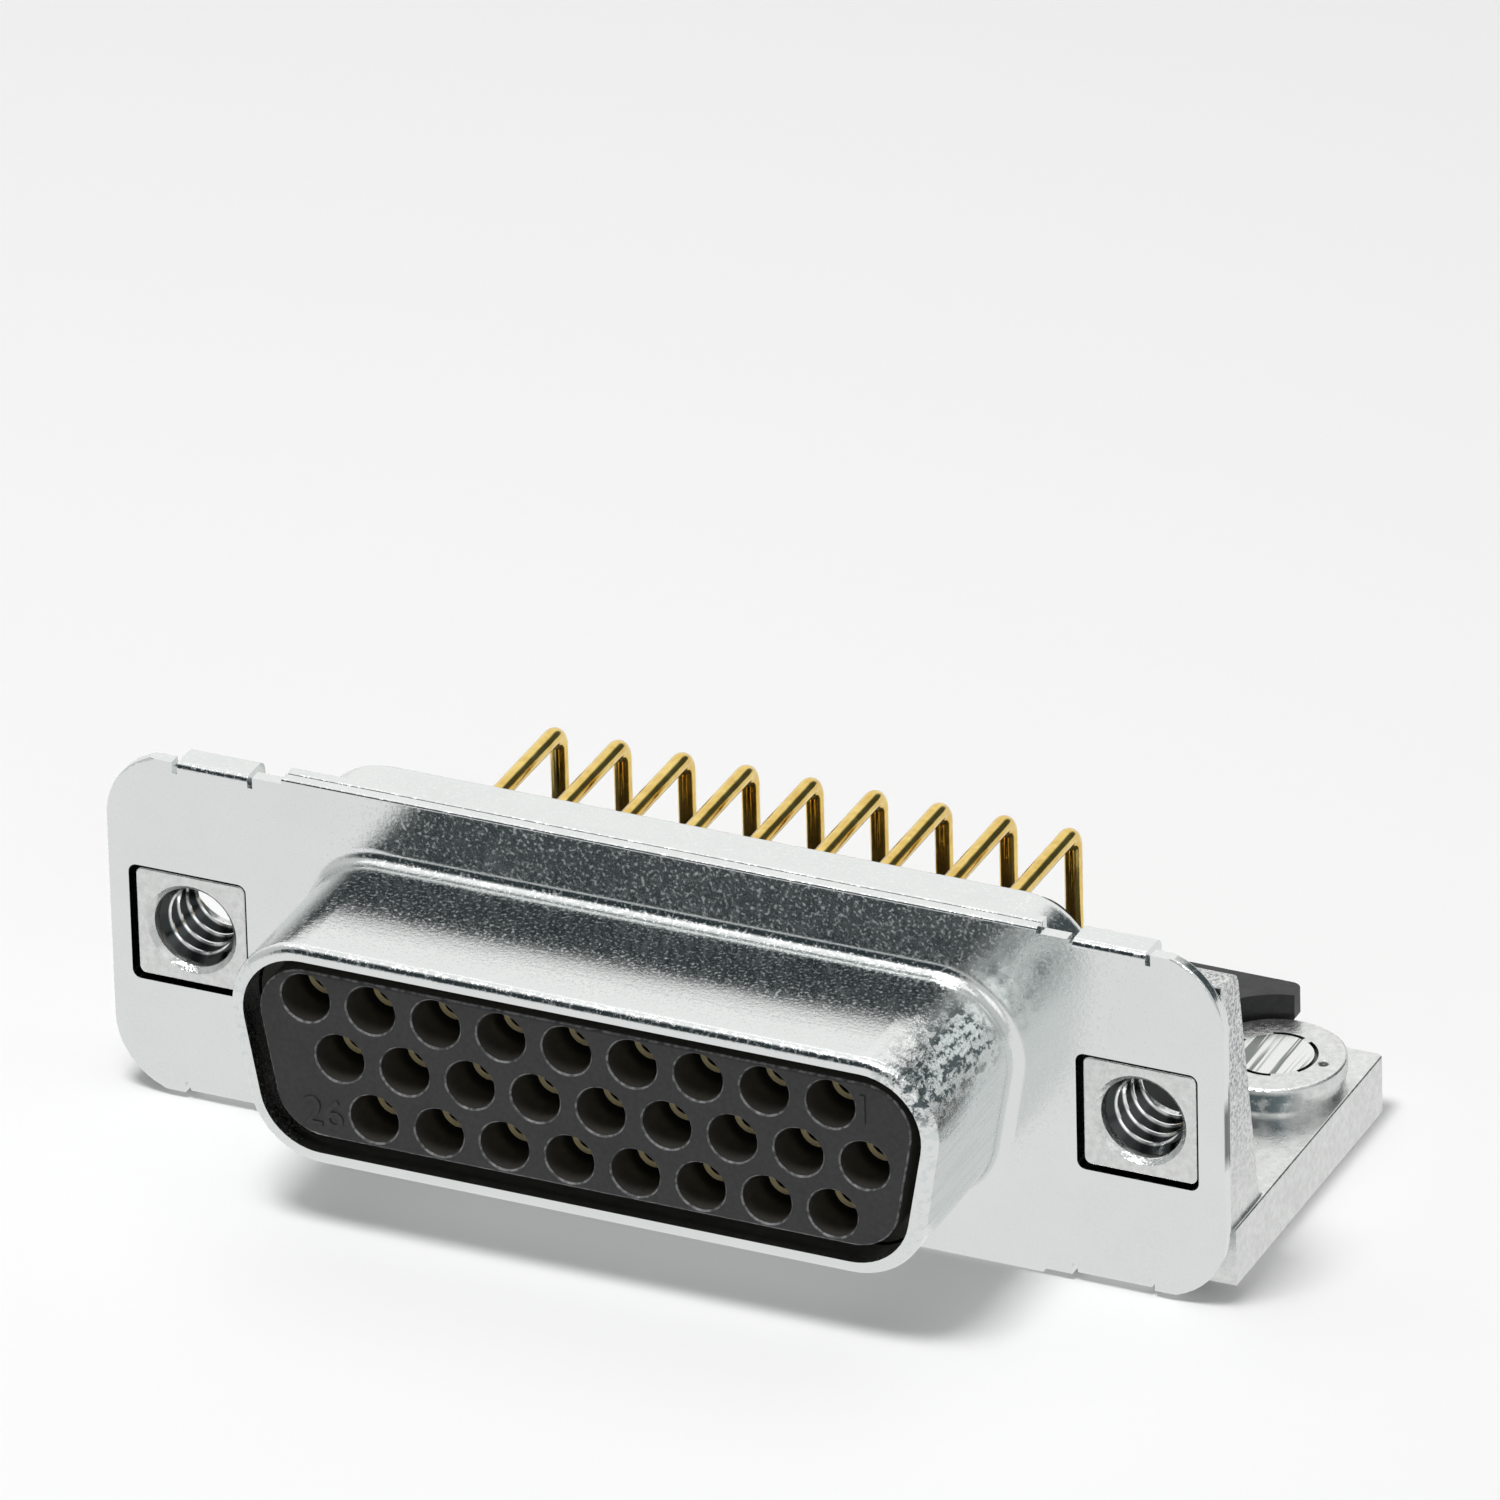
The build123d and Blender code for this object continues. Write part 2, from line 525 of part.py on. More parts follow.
os.makedirs("parts", exist_ok=True)
export_step(front_shell.part, "parts/front_shell.step")
export_step(rear_shell.part, "parts/rear_shell.step")
export_step(front_insulator.part, "parts/front_insulator.step")
export_step(rear_insulator.part, "parts/rear_insulator.step")
export_step(pin_organiser.part, "parts/pin_organiser.step")
for repeated in contacts + brackets + board_locks:
    export_step(repeated, f"parts/{repeated.label}.step")
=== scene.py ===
"""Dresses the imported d-sub socket connector and stands it in a pale studio."""

from __future__ import annotations

import logging
import math
from dataclasses import dataclass, field
from enum import Enum

import bpy
from mathutils import Matrix, Vector


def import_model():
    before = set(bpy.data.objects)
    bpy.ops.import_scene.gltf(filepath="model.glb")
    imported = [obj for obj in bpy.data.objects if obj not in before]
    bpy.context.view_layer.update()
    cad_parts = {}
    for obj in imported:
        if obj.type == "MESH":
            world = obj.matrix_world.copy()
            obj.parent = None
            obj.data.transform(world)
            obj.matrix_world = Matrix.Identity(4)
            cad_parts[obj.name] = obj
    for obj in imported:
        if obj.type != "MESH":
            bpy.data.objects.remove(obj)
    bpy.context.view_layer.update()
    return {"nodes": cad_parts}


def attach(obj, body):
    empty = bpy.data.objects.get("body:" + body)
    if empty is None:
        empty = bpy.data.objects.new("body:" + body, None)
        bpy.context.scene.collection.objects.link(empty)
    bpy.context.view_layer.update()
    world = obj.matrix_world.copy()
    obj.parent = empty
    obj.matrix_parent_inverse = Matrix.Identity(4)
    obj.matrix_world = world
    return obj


LOG = logging.getLogger("d_sub_scene")
MM = 0.001

Colour = tuple[float, float, float]
Triple = tuple[float, float, float]
Range = tuple[float, float]
Socket = bpy.types.NodeSocket

FULL: Range = (0.0, 1.0)
NOISE_CORE: Range = (0.3, 0.7)
WHITE: Colour = (1.0, 1.0, 1.0)

NOSE_SPACING = 33.32 * MM
NOSE_HEIGHT = 6.3 * MM


class Side(Enum):
    """The two ends of the connector, as the sign of X."""

    LEFT = -1
    RIGHT = 1

    @property
    def word(self) -> str:
        """The end's name as the pieces use it."""
        return self.name.lower()


class Slot(Enum):
    """The record's material slots of the bracket and the insulator; the script does not use them."""

    BRACKET = "bracket_metal"
    INSULATOR = "insulator_plastic"


class Axis(Enum):
    """An axis of the object."""

    X = "X"
    Y = "Y"
    Z = "Z"


class Body(Enum):
    """What lies under a surface, as the shader's metallic value."""

    METAL = 1.0
    PLASTIC = 0.0


class Mixed(Enum):
    """What a mix node mixes: its data type, its two inputs' numbers and its output's number."""

    VALUE = ("FLOAT", 2, 3, 0)
    COLOUR = ("RGBA", 6, 7, 2)


# ---- node trees


@dataclass(frozen=True)
class Grain:
    """A noise pattern in the object's own coordinates.

    Attributes:
        scale: Features per metre, before the stretch.
        detail: Octaves.
        harshness: How strong the finer octaves are.
        stretch: How many times denser the pattern is along each axis.
        turn: The rotation in degrees.
    """

    scale: float = 1.0
    detail: float = 3.0
    harshness: float = 0.5
    stretch: Triple = (1.0, 1.0, 1.0)
    turn: Triple = (0.0, 0.0, 0.0)


@dataclass(frozen=True)
class Datum:
    """A plane or an axis to measure from, which stands at the same place at both ends of the connector.

    Attributes:
        point: A point of it at the right end, in metres.
        counted: 1 for each axis that the distance counts, and 0 for the others.
    """

    point: Triple
    counted: Triple


MIDDLE_PLANE = Datum((0.0, 0.0, 0.0), (1.0, 0.0, 0.0))
NOSE_AXIS = Datum((NOSE_SPACING / 2, 0.0, NOSE_HEIGHT), (1.0, 0.0, 1.0))
BOSS_AXIS = Datum((NOSE_SPACING / 2, 0.0, 0.0), (1.0, 1.0, 0.0))


class Bench:
    """Wires the nodes of one material or world."""

    def __init__(self, owner: bpy.types.Material | bpy.types.World) -> None:
        """Clears the owner's node tree.

        Args:
            owner: The material or world whose node tree is built.
        """
        owner.use_nodes = True
        self.tree = owner.node_tree
        self.tree.nodes.clear()

    def add(self, kind: str, inputs: dict[str | int, object] | None = None,
            **settings: object) -> bpy.types.Node:
        """Adds a node.

        Args:
            kind: The node's type name.
            inputs: Values or sockets for the inputs, by name or number.
            **settings: Properties of the node itself.

        Returns:
            The new node.
        """
        node = self.tree.nodes.new(kind)
        for name, value in settings.items():
            setattr(node, name, value)
        for name, value in (inputs or {}).items():
            self.feed(node, name, value)
        return node

    def feed(self, node: bpy.types.Node, name: str | int, value: object) -> None:
        """Sets an input, or links a socket to it.

        Args:
            node: The node that takes the value.
            name: The input's name or number.
            value: A plain value or an output socket.
        """
        if isinstance(value, Socket):
            self.tree.links.new(value, node.inputs[name])
        else:
            node.inputs[name].default_value = value

    def here(self) -> Socket:
        """The place on the object, in its own coordinates."""
        return self.add("ShaderNodeTexCoord").outputs["Object"]

    def vector(self, operation: str, *terms: Socket | Vector | Triple) -> bpy.types.Node:
        """Adds a vector operation on the terms."""
        return self.add("ShaderNodeVectorMath", dict(enumerate(terms)), operation=operation)

    def noise(self, grain: Grain) -> Socket:
        """A noise value, most of it between 0.3 and 0.7.

        Args:
            grain: The pattern.

        Returns:
            The factor socket.
        """
        mapping = self.add("ShaderNodeMapping", {
            "Vector": self.here(), "Scale": grain.stretch,
            "Rotation": tuple(math.radians(angle) for angle in grain.turn)})
        node = self.add("ShaderNodeTexNoise", {
            "Vector": mapping.outputs["Vector"], "Scale": grain.scale, "Detail": grain.detail,
            "Roughness": grain.harshness})
        return node.outputs["Fac"]

    def spread(self, value: Socket, source: Range, result: Range = FULL) -> Socket:
        """Maps a range of values onto another, and holds it beyond its ends.

        Args:
            value: The socket to map.
            source: The values that give the two results.
            result: The results there.

        Returns:
            The mapped socket.
        """
        node = self.add("ShaderNodeMapRange", {
            "Value": value, "From Min": source[0], "From Max": source[1],
            "To Min": result[0], "To Max": result[1]})
        return node.outputs["Result"]

    def along(self, axis: Axis, fade: Range) -> Socket:
        """Fades from 0 to 1 along an axis of the object.

        Args:
            axis: The axis.
            fade: Where the fade starts and ends, in metres.

        Returns:
            The factor socket.
        """
        place = self.add("ShaderNodeSeparateXYZ", {"Vector": self.here()})
        return self.spread(place.outputs[axis.value], fade)

    def away(self, datum: Datum, fade: Range) -> Socket:
        """Fades from 0 to 1 with the distance from a plane or an axis.

        Args:
            datum: What the distance is measured from.
            fade: The distances where the fade starts and ends, in metres.

        Returns:
            The factor socket.
        """
        place = self.here()
        across = self.vector("MULTIPLY", place, (1.0, 0.0, 0.0)).outputs["Vector"]
        folded = self.vector("ABSOLUTE", across).outputs["Vector"]
        upright = self.vector("MULTIPLY", place, (0.0, 1.0, 1.0)).outputs["Vector"]
        mirrored = self.vector("ADD", folded, upright).outputs["Vector"]
        offset = self.vector("SUBTRACT", mirrored, datum.point).outputs["Vector"]
        counted = self.vector("MULTIPLY", offset, datum.counted).outputs["Vector"]
        return self.spread(self.vector("LENGTH", counted).outputs["Value"], fade)

    def bumps(self, *reliefs: tuple[Socket, float]) -> Socket:
        """Roughens the surface with one relief on another.

        Args:
            *reliefs: Each relief's height, 0 to 1, and its depth in metres.

        Returns:
            The normal socket.
        """
        inputs: dict[str | int, object] = {}
        for height, depth in reliefs:
            node = self.add("ShaderNodeBump", {
                **inputs, "Height": height, "Distance": depth, "Strength": 1.0})
            inputs = {"Normal": node.outputs["Normal"]}
        return inputs["Normal"]

    def times(self, *values: Socket) -> Socket:
        """Multiplies the values."""
        return self._chain("MULTIPLY", values)

    def plus(self, *values: Socket) -> Socket:
        """Adds the values."""
        return self._chain("ADD", values)

    def _chain(self, operation: str, values: tuple[Socket, ...]) -> Socket:
        """Takes the values one after another into one result.

        Args:
            operation: The operation between two values.
            values: The values in order.

        Returns:
            The result's socket.
        """
        result = values[0]
        for value in values[1:]:
            result = self.add("ShaderNodeMath", {0: result, 1: value}, operation=operation).outputs[0]
        return result

    def mix(self, factor: Socket, first: Socket | float, second: Socket | float) -> Socket:
        """Mixes two values, the first where the factor is 0 and the second where it is 1."""
        return self._mixed(Mixed.VALUE, factor, first, second)

    def tint(self, factor: Socket, first: Socket | Colour, second: Socket | Colour) -> Socket:
        """Mixes two colours, the first where the factor is 0 and the second where it is 1."""
        solid = [(*colour, 1.0) if isinstance(colour, tuple) else colour for colour in (first, second)]
        return self._mixed(Mixed.COLOUR, factor, *solid)

    def _mixed(self, kind: Mixed, factor: Socket, first: object, second: object) -> Socket:
        """Adds a mix node.

        Args:
            kind: What is mixed.
            factor: 0 for the first and 1 for the second.
            first: The first input.
            second: The second input.

        Returns:
            The mixed socket.
        """
        data_type, first_input, second_input, output = kind.value
        node = self.add("ShaderNodeMix", data_type=data_type)
        for number, value in ((0, factor), (first_input, first), (second_input, second)):
            self.feed(node, number, value)
        return node.outputs[output]

    def surface(self, body: Body, colour: Socket, rough: Socket, normal: Socket | None = None) -> None:
        """Makes the surface that the marks end in.

        Args:
            body: Metal or plastic.
            colour: The base colour.
            rough: The roughness.
            normal: The relief's normal, where there is relief.
        """
        relief = {} if normal is None else {"Normal": normal}
        self.finish(self.add("ShaderNodeBsdfPrincipled", {
            "Base Color": colour, "Metallic": body.value, "Roughness": rough, **relief}))

    def finish(self, shader: bpy.types.Node) -> None:
        """Joins the shader to the output."""
        kind = "ShaderNodeOutputWorld" if shader.type == "BACKGROUND" else "ShaderNodeOutputMaterial"
        self.add(kind, {"Surface": shader.outputs[0]})


# ---- finishes


@dataclass(frozen=True)
class Finish:
    """A procedural finish.

    In every finish, a pair of lengths says where a mark starts to show and where it shows in full, and
    a _range and a _strength say which noise values make a mark, and how much of it.
    """

    name: str

    def make(self) -> bpy.types.Material:
        """Builds the material.

        Returns:
            The new material.
        """
        material = bpy.data.materials.new(self.name)
        self.wire(Bench(material))
        return material

    def wire(self, bench: Bench) -> None:
        """Wires the material's nodes, in each finish's own way."""
        raise NotImplementedError(self.name)


@dataclass(frozen=True)
class TinPlate(Finish):
    """Bright tin over drawn steel sheet: pale and speckled, with drawing lines and pits on the collar."""

    name: str = "tin_plated_sheet"
    pale: Colour = (0.80, 0.82, 0.81)
    dull: Colour = (0.755, 0.785, 0.775)
    fleck: Colour = (0.81, 0.83, 0.825)
    pit: Colour = (0.11, 0.135, 0.14)
    streak: Colour = (0.60, 0.66, 0.67)
    # Painted shade for the walls of the windows round the noses.
    painted_shade: Colour = (0.10, 0.11, 0.11)
    roughness: Range = (0.06, 0.11)
    fleck_roughness: float = 0.34
    pit_roughness: float = 0.30
    floor_roughness: float = 0.22
    wave: Grain = Grain(scale=330.0, detail=2.0, harshness=0.4)
    mottle: Grain = Grain(scale=420.0, detail=4.0, harshness=0.6)
    speckle: Grain = Grain(scale=7600.0, harshness=0.7)
    drawing: Grain = Grain(harshness=0.6, stretch=(4300.0, 170.0, 4300.0))
    scratching: Grain = Grain(harshness=0.6, stretch=(150.0, 6500.0, 6500.0))
    pitting: Grain = Grain(harshness=0.7, stretch=(3600.0, 2200.0, 3600.0))
    wave_depth: float = 0.006 * MM
    speckle_depth: float = 0.006 * MM
    drawing_depth: float = 0.022 * MM
    scratch_depth: float = 0.004 * MM
    pit_depth: float = 0.060 * MM
    mottle_range: Range = (0.32, 0.68)
    fleck_range: Range = (0.49, 0.64)
    streak_range: Range = (0.48, 0.62)
    streak_strength: Range = (0.0, 0.5)
    pit_range: Range = (0.47, 0.57)
    collar_wall: Range = (-11.3 * MM, -12.2 * MM)
    collar_mouth: Range = (-14.9 * MM, -15.4 * MM)
    collar_end: Range = (10.6 * MM, 12.0 * MM)
    collar_floor: Range = (3.1 * MM, 2.7 * MM)
    corner_across: Range = (10.0 * MM, 11.2 * MM)
    corner_up: Range = (7.9 * MM, 8.8 * MM)
    window_reach: Range = (3.2 * MM, 3.0 * MM)
    window_depth: Range = (-10.86 * MM, -10.80 * MM)

    def wire(self, bench: Bench) -> None:
        """Wires the sheet, the marks on its collar and the painted shade on the walls of its windows.

        Args:
            bench: The material's bench.
        """
        on_wall = bench.along(Axis.Y, self.collar_wall)
        at_end = bench.times(bench.away(MIDDLE_PLANE, self.collar_end), on_wall)
        on_floor = bench.times(bench.along(Axis.Z, self.collar_floor), on_wall)
        in_corner = bench.times(bench.along(Axis.X, self.corner_across),
                                bench.along(Axis.Z, self.corner_up), on_wall)
        # Where shade is painted: the walls of the windows round the noses.
        in_window = bench.times(bench.away(NOSE_AXIS, self.window_reach),
                                bench.along(Axis.Y, self.window_depth))
        mottled = bench.spread(bench.noise(self.mottle), self.mottle_range)
        speckled = bench.noise(self.speckle)
        drawn = bench.noise(self.drawing)
        pitted = bench.noise(self.pitting)
        flecks = bench.mix(on_floor, bench.spread(speckled, self.fleck_range), 0.0)
        streaks = bench.times(bench.spread(drawn, self.streak_range, self.streak_strength), at_end)
        pits = bench.times(bench.spread(pitted, self.pit_range), in_corner)
        scratches = bench.times(bench.noise(self.scratching), bench.along(Axis.Y, self.collar_mouth))
        normal = bench.bumps((bench.noise(self.wave), self.wave_depth), (speckled, self.speckle_depth),
                             (bench.times(drawn, at_end), self.drawing_depth),
                             (scratches, self.scratch_depth),
                             (bench.times(pitted, in_corner), self.pit_depth))
        colour = bench.tint(mottled, self.dull, self.pale)
        for mark, stain in ((flecks, self.fleck), (streaks, self.streak), (pits, self.pit),
                            (in_window, self.painted_shade)):
            colour = bench.tint(mark, colour, stain)
        rough = bench.spread(mottled, FULL, self.roughness)
        for mark, roughness in ((flecks, self.fleck_roughness), (pits, self.pit_roughness),
                                (on_floor, self.floor_roughness)):
            rough = bench.mix(mark, rough, roughness)
        bench.surface(Body.METAL, colour, rough, normal)


@dataclass(frozen=True)
class CastZinc(Finish):
    """Plated die-cast zinc: greyer, grainy on the walls and smoother on the foot."""

    name: str = "cast_zinc"
    pale: Colour = (0.80, 0.81, 0.80)
    dull: Colour = (0.66, 0.67, 0.66)
    # Dark speckles of the casting's grain, which also carry painted shade on the upper wall.
    grit_and_shade: Colour = (0.24, 0.25, 0.26)
    # Painted shade beside the nose and in the groove round the boss.
    painted_shade: Colour = (0.09, 0.10, 0.10)
    # Painted dark reflection on the side of the boss, which mirrors the shaded wall behind it.
    painted_dark_reflection: Colour = (0.15, 0.185, 0.20)
    roughness: Range = (0.22, 0.36)
    mottle: Grain = Grain(scale=900.0, detail=4.0, harshness=0.65)
    casting: Grain = Grain(scale=3600.0, harshness=0.6)
    pitting: Grain = Grain(scale=12000.0, detail=2.0, harshness=0.7)
    gritting: Grain = Grain(scale=7000.0, harshness=0.7)
    dark_reflection_noise: Grain = Grain(scale=1900.0, harshness=0.7)
    casting_depth: float = 0.032 * MM
    pit_depth: float = 0.008 * MM
    casting_range: Range = (0.35, 0.68)
    grit_range: Range = (0.46, 0.58)
    grit_strength: Range = (0.0, 0.9)
    dark_reflection_range: Range = (0.34, 0.50)
    dark_reflection_strength: Range = (0.35, 1.0)
    above_foot: Range = (2.2 * MM, 3.8 * MM)
    above_foot_strength: Range = (0.16, 1.0)
    nose_sides: Range = (-10.80 * MM, -10.74 * MM)
    nose_root: Range = (-9.97 * MM, -9.99 * MM)
    nose_rim: Range = (1.72 * MM, 1.78 * MM)
    grit_and_shade_up: Range = (2.6 * MM, 7.4 * MM)
    grit_and_shade_back: Range = (-10.05 * MM, -9.95 * MM)
    # The radii where shade is painted in the boss's groove.
    painted_groove_shade: Range = (2.10 * MM, 2.06 * MM)
    groove_depth: Range = (3.045 * MM, 3.02 * MM)
    boss_front: Range = (-1.6 * MM, -2.1 * MM)
    boss_side: Range = (2.94 * MM, 2.80 * MM)
    boss_root: Range = (2.10 * MM, 2.20 * MM)
    boss_reach: Range = (2.60 * MM, 2.50 * MM)

    def wire(self, bench: Bench) -> None:
        """Wires the casting, its gritty wall with painted shade towards its top, the painted dark
        reflection on its boss's side, and the painted shade beside the nose and in the boss's groove.

        Args:
            bench: The material's bench.
        """
        cast = bench.noise(self.casting)
        on_wall = bench.spread(bench.along(Axis.Z, self.above_foot), FULL, self.above_foot_strength)
        # Grain speckles on the wall behind the flange, darker towards the top, where they also stand in for
        # painted shade.
        grit_and_shade_mask = bench.times(bench.spread(bench.noise(self.gritting), self.grit_range, self.grit_strength),
                             bench.along(Axis.Y, self.grit_and_shade_back), bench.along(Axis.Z, self.grit_and_shade_up))
        # The side of the boss gets a painted dark reflection of the shaded wall behind it.
        dark_reflection_mask = bench.times(
            bench.along(Axis.Y, self.boss_front), bench.along(Axis.Z, self.boss_side),
            bench.along(Axis.Z, self.boss_root), bench.away(BOSS_AXIS, self.boss_reach),
            bench.spread(bench.noise(self.dark_reflection_noise), self.dark_reflection_range, self.dark_reflection_strength))
        # Shade is painted on the nose's sides in its window and in the boss's groove.
        beside_nose = bench.times(bench.along(Axis.Y, self.nose_sides), bench.along(Axis.Y, self.nose_root),
                                  bench.away(NOSE_AXIS, self.nose_rim))
        in_groove = bench.times(bench.away(BOSS_AXIS, self.painted_groove_shade), bench.along(Axis.Z, self.groove_depth))
        colour = bench.tint(bench.spread(cast, self.casting_range), self.dull, self.pale)
        for mark, stain in ((grit_and_shade_mask, self.grit_and_shade), (dark_reflection_mask, self.painted_dark_reflection),
                            (bench.plus(beside_nose, in_groove), self.painted_shade)):
            colour = bench.tint(mark, colour, stain)
        rough = bench.spread(bench.noise(self.mottle), NOISE_CORE, self.roughness)
        normal = bench.bumps((bench.times(cast, on_wall), self.casting_depth),
                             (bench.noise(self.pitting), self.pit_depth))
        bench.surface(Body.METAL, colour, rough, normal)


@dataclass(frozen=True)
class CutThread(Finish):
    """Cut threads: painted shade in the grooves, and bright crests."""

    name: str = "cut_thread"
    crest: Colour = (0.86, 0.87, 0.86)
    # Painted shade in the thread's grooves.
    painted_groove_shade: Colour = (0.05, 0.055, 0.055)
    roughness: Range = (0.112, 0.224)
    wear: Grain = Grain(scale=5200.0, harshness=0.6)
    crest_reach: Range = (1.21 * MM, 1.17 * MM)

    def wire(self, bench: Bench) -> None:
        """Wires the thread."""
        # Shade is painted outside the crests' reach, in the grooves.
        colour = bench.tint(bench.away(NOSE_AXIS, self.crest_reach), self.painted_groove_shade, self.crest)
        bench.surface(Body.METAL, colour, bench.spread(bench.noise(self.wear), NOISE_CORE, self.roughness))


@dataclass(frozen=True)
class BrushedPin(Finish):
    """Plated brass of the board locks, with brush lines across the staked head."""

    name: str = "brushed_pin"
    pale: Colour = (0.84, 0.85, 0.83)
    dull: Colour = (0.22, 0.24, 0.23)
    roughness: Range = (0.14, 0.28)
    mottle: Grain = Grain(scale=1300.0)
    brushing: Grain = Grain(harshness=0.7, stretch=(3000.0, 80.0, 900.0), turn=(0.0, 0.0, 27.0))
    brush_depth: float = 0.012 * MM
    brush_range: Range = (0.44, 0.52)

    def wire(self, bench: Bench) -> None:
        """Wires the pin.

        Args:
            bench: The material's bench.
        """
        brushed = bench.noise(self.brushing)
        colour = bench.tint(bench.spread(brushed, self.brush_range), self.dull, self.pale)
        rough = bench.spread(bench.noise(self.mottle), NOISE_CORE, self.roughness)
        bench.surface(Body.METAL, colour, rough, bench.bumps((brushed, self.brush_depth)))


@dataclass(frozen=True)
class GoldPlate(Finish):
    """Gold over copper alloy, with fine drawing lines along the wire."""

    name: str = "gold_plate"
    pale: Colour = (0.88, 0.66, 0.22)
    dull: Colour = (0.74, 0.50, 0.13)
    # deep: painted shade on the barrel inside the insulator.
    deep: Colour = (0.34, 0.19, 0.05)
    # glint: a painted glint on the ring at the contact's mouth.
    glint: Colour = (0.97, 0.84, 0.50)
    roughness: Range = (0.10, 0.20)
    glint_roughness: float = 0.55
    mottle: Grain = Grain(scale=1500.0, harshness=0.6)
    drawing: Grain = Grain(harshness=0.65, stretch=(7000.0, 1500.0, 1500.0))
    drawing_depth: float = 0.006 * MM
    mottle_range: Range = (0.34, 0.66)
    barrel: Range = (-9.0 * MM, -12.0 * MM)
    mouth: Range = (-15.13 * MM, -15.18 * MM)

    def wire(self, bench: Bench) -> None:
        """Wires the contact: painted shade on the barrel inside the insulator, and a painted glint at its
        mouth.

        Args:
            bench: The material's bench.
        """
        mottled = bench.noise(self.mottle)
        at_mouth = bench.along(Axis.Y, self.mouth)
        colour = bench.tint(bench.spread(mottled, self.mottle_range), self.dull, self.pale)
        # Painted shade on the barrel deep inside the insulator.
        colour = bench.tint(bench.along(Axis.Y, self.barrel), colour, self.deep)
        # Painted glint on the ring at the contact's mouth.
        colour = bench.tint(at_mouth, colour, self.glint)
        rough = bench.mix(at_mouth, bench.spread(mottled, NOISE_CORE, self.roughness), self.glint_roughness)
        normal = bench.bumps((bench.noise(self.drawing), self.drawing_depth))
        bench.surface(Body.METAL, colour, rough, normal)


@dataclass(frozen=True)
class MouldedPlastic(Finish):
    """Glass-filled black plastic with the fine grain of its mould."""

    deep: Colour = (0.010, 0.010, 0.0105)
    worn: Colour = (0.022, 0.022, 0.023)
    # A painted highlight on the chamfered rims of the holes.
    painted_rim_highlight: Colour = (0.20, 0.20, 0.205)
    painted_inside_light: Colour = (0.042, 0.040, 0.034)
    # Painted light on the plastic behind the front face, in the holes and the gap.
    roughness: Range = (0.38, 0.54)
    mottle: Grain = Grain(scale=700.0, harshness=0.55)
    moulding: Grain = Grain(scale=5200.0, harshness=0.6)
    rim_highlight_noise: Grain = Grain(scale=4200.0, detail=2.0, harshness=0.6)
    moulding_depth: float = 0.010 * MM
    rim_highlight_range: Range = (0.40, 0.60)
    rim_highlight_strength: Range = (0.15, 1.0)
    edge_front: Range = (-16.735 * MM, -16.72 * MM)
    edge_back: Range = (-16.66 * MM, -16.68 * MM)
    inside: Range = (-16.66 * MM, -16.60 * MM)
    inside_end: Range = (-10.0 * MM, -10.5 * MM)

    def wire(self, bench: Bench) -> None:
        """Wires the plastic, the painted highlights on the rims of its holes and the painted light inside
        them.

        Args:
            bench: The material's bench.
        """
        moulded = bench.noise(self.moulding)
        # Painted light behind the front face: inside the holes and in the gap to the collar.
        inside = bench.times(bench.along(Axis.Y, self.inside), bench.along(Axis.Y, self.inside_end))
        # Painted highlights on the chamfered rims of the holes.
        painted_rim_highlight = bench.times(
            bench.along(Axis.Y, self.edge_front), bench.along(Axis.Y, self.edge_back),
            bench.spread(bench.noise(self.rim_highlight_noise), self.rim_highlight_range, self.rim_highlight_strength))
        colour = bench.tint(bench.spread(moulded, NOISE_CORE), self.deep, self.worn)
        colour = bench.tint(inside, colour, self.painted_inside_light)
        colour = bench.tint(painted_rim_highlight, colour, self.painted_rim_highlight)
        rough = bench.spread(bench.noise(self.mottle), NOISE_CORE, self.roughness)
        bench.surface(Body.PLASTIC, colour, rough, bench.bumps((moulded, self.moulding_depth)))


# ---- mesh work


class Workshop:
    """The edit-mode steps that the added pieces share."""

    MERGE = 0.00001 * MM
    HOLE_SIDES = 8

    @staticmethod
    def pick(piece: bpy.types.Object) -> None:
        """Makes a piece the active one and the only one selected.

        Args:
            piece: The piece.
        """
        bpy.ops.object.select_all(action="DESELECT")
        piece.select_set(True)
        bpy.context.view_layer.objects.active = piece

    @staticmethod
    def start(name: str, made: bpy.types.Object) -> bpy.types.Object:
        """Names a new object and picks it.

        Args:
            name: The piece's name.
            made: The object just added.

        Returns:
            The same object.
        """
        made.name = name
        made.data.name = name
        Workshop.pick(made)
        return made

    @staticmethod
    def settle(piece: bpy.types.Object) -> None:
        """Puts the object's place, turn and scale into its mesh."""
        Workshop.pick(piece)
        bpy.ops.object.transform_apply(location=True, rotation=True, scale=True)

    @staticmethod
    def tidy(piece: bpy.types.Object) -> None:
        """Merges doubles, closes small holes and turns the faces outwards.

        Args:
            piece: The piece to tidy.
        """
        Workshop.pick(piece)
        bpy.ops.object.mode_set(mode="EDIT")
        bpy.ops.mesh.select_all(action="SELECT")
        bpy.ops.mesh.remove_doubles(threshold=Workshop.MERGE)
        bpy.ops.mesh.fill_holes(sides=Workshop.HOLE_SIDES)
        bpy.ops.mesh.select_all(action="SELECT")
        bpy.ops.mesh.normals_make_consistent(inside=False)
        bpy.ops.object.mode_set(mode="OBJECT")

    @staticmethod
    def copy(piece: bpy.types.Object, name: str, shift: Vector) -> bpy.types.Object:
        """Copies a piece with its own mesh and moves the mesh.

        Args:
            piece: The piece to copy.
            name: The copy's name.
            shift: How far the copy's mesh is moved.

        Returns:
            The copy.
        """
        twin = piece.copy()
        twin.data = piece.data.copy()
        bpy.context.scene.collection.objects.link(twin)
        Workshop.start(name, twin)
        twin.data.transform(Matrix.Translation(shift))
        return twin


